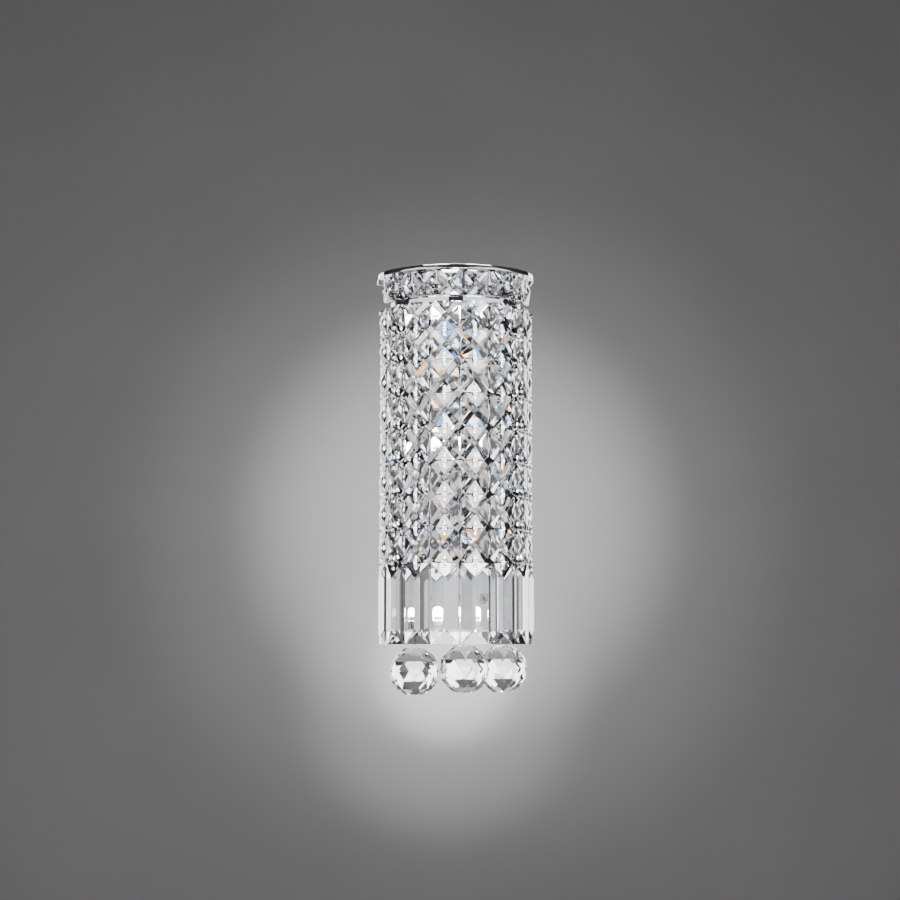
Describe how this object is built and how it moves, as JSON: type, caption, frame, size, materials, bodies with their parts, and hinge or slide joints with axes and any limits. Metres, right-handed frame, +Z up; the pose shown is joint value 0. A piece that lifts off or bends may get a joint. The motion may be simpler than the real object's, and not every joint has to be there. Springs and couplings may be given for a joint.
{
  "type": "crystal wall sconce",
  "caption": "Half-round crystal wall sconce with a chrome cap, faceted crystal strands around capsule lamps, and faceted balls hanging below.",
  "frame": {"origin": "middle between the wall bracket's two slots, on the wall plane", "axes": "+Z up, +Y into the wall, so the front faces -Y, +X to the right seen from the front"},
  "size_m": [0.152, 0.1043, 0.4045],
  "materials": {
    "chrome": "polished",
    "pan_metal": "polished, a little duller",
    "zinc_steel": "zinc plated",
    "ground_brass": "plain",
    "crystal": "clear, cut and polished",
    "lamp_glass": "clear",
    "ceramic": "glazed white ceramic",
    "tungsten": "drawn wire",
    "bush": "matt black"
  },
  "bodies": {
    "frame": {"wall_bracket": "zinc_steel", "back_pan": "pan_metal", "top_cap": "chrome", "strand_ring": "chrome", "lower_hanger": "chrome", "cap_screws": "chrome", "hanger_screws": "zinc_steel", "ring_screws": "zinc_steel", "arm_screws": "zinc_steel", "bracket_studs": "zinc_steel", "cap_nuts": "chrome", "ground_screw": "ground_brass", "band_crystals": "crystal", "band_hangers": "chrome", "lamp_arms": "pan_metal", "lamp_sockets": "ceramic", "lead_grommets": "bush"},
    "strand_1": {"strand_1_crystals": "crystal", "strand_1_clips": "chrome", "strand_1_prism": "crystal"},
    "strand_2": {"strand_2_crystals": "crystal", "strand_2_clips": "chrome", "strand_2_prism": "crystal"},
    "strand_3": {"strand_3_crystals": "crystal", "strand_3_clips": "chrome", "strand_3_prism": "crystal"},
    "strand_4": {"strand_4_crystals": "crystal", "strand_4_clips": "chrome", "strand_4_prism": "crystal"},
    "strand_5": {"strand_5_crystals": "crystal", "strand_5_clips": "chrome", "strand_5_prism": "crystal"},
    "strand_6": {"strand_6_crystals": "crystal", "strand_6_clips": "chrome", "strand_6_prism": "crystal"},
    "strand_7": {"strand_7_crystals": "crystal", "strand_7_clips": "chrome", "strand_7_prism": "crystal"},
    "strand_8": {"strand_8_crystals": "crystal", "strand_8_clips": "chrome", "strand_8_prism": "crystal"},
    "lamp_1": {"lamp_1_base": "ceramic", "lamp_1_capsule": "lamp_glass", "lamp_1_filament": "tungsten"},
    "lamp_2": {"lamp_2_base": "ceramic", "lamp_2_capsule": "lamp_glass", "lamp_2_filament": "tungsten"},
    "lamp_3": {"lamp_3_base": "ceramic", "lamp_3_capsule": "lamp_glass", "lamp_3_filament": "tungsten"},
    "ball_1": {"ball_1": "crystal", "ball_1_hook": "chrome"},
    "ball_2": {"ball_2": "crystal", "ball_2_hook": "chrome"},
    "ball_3": {"ball_3": "crystal", "ball_3_hook": "chrome"}
  },
  "joints": [
    {"name": "strand_1_swing", "type": "hinge", "parent": "frame", "child": "strand_1", "pos_m": [-0.06865, -0.03966, 0.1333], "axis": [-0.1951, 0.9808, 0], "range_deg": [-0.4, 8]},
    {"name": "strand_2_swing", "type": "hinge", "parent": "frame", "child": "strand_2", "pos_m": [-0.0582, -0.06489, 0.1333], "axis": [-0.5556, 0.8315, 0], "range_deg": [-0.4, 8]},
    {"name": "strand_3_swing", "type": "hinge", "parent": "frame", "child": "strand_3", "pos_m": [-0.03889, -0.0842, 0.1333], "axis": [-0.8315, 0.5556, 0], "range_deg": [-0.4, 8]},
    {"name": "strand_4_swing", "type": "hinge", "parent": "frame", "child": "strand_4", "pos_m": [-0.01366, -0.09466, 0.1333], "axis": [-0.9808, 0.1951, 0], "range_deg": [-0.4, 8]},
    {"name": "strand_5_swing", "type": "hinge", "parent": "frame", "child": "strand_5", "pos_m": [0.01366, -0.09466, 0.1333], "axis": [-0.9808, -0.1951, 0], "range_deg": [-0.4, 8]},
    {"name": "strand_6_swing", "type": "hinge", "parent": "frame", "child": "strand_6", "pos_m": [0.03889, -0.0842, 0.1333], "axis": [-0.8315, -0.5556, 0], "range_deg": [-0.4, 8]},
    {"name": "strand_7_swing", "type": "hinge", "parent": "frame", "child": "strand_7", "pos_m": [0.0582, -0.06489, 0.1333], "axis": [-0.5556, -0.8315, 0], "range_deg": [-0.4, 8]},
    {"name": "strand_8_swing", "type": "hinge", "parent": "frame", "child": "strand_8", "pos_m": [0.06865, -0.03966, 0.1333], "axis": [-0.1951, -0.9808, 0], "range_deg": [-0.4, 8]},
    {"name": "lamp_1_pull", "type": "slide", "parent": "frame", "child": "lamp_1", "axis": [0, 0, 1], "range_m": [0, 0.01]},
    {"name": "lamp_2_pull", "type": "slide", "parent": "frame", "child": "lamp_2", "axis": [0, 0, 1], "range_m": [0, 0.01]},
    {"name": "lamp_3_pull", "type": "slide", "parent": "frame", "child": "lamp_3", "axis": [0, 0, 1], "range_m": [0, 0.01]},
    {"name": "ball_1_swing", "type": "hinge", "parent": "frame", "child": "ball_1", "pos_m": [-0.0403, -0.054, -0.17], "axis": [0, 1, 0], "range_deg": [0, 6]},
    {"name": "ball_2_swing", "type": "hinge", "parent": "frame", "child": "ball_2", "pos_m": [0.005, -0.0815, -0.17], "axis": [-1, 0, 0], "range_deg": [-1.5, 4]},
    {"name": "ball_3_swing", "type": "hinge", "parent": "frame", "child": "ball_3", "pos_m": [0.043, -0.052, -0.17], "axis": [0, -1, 0], "range_deg": [0, 6]}
  ]
}
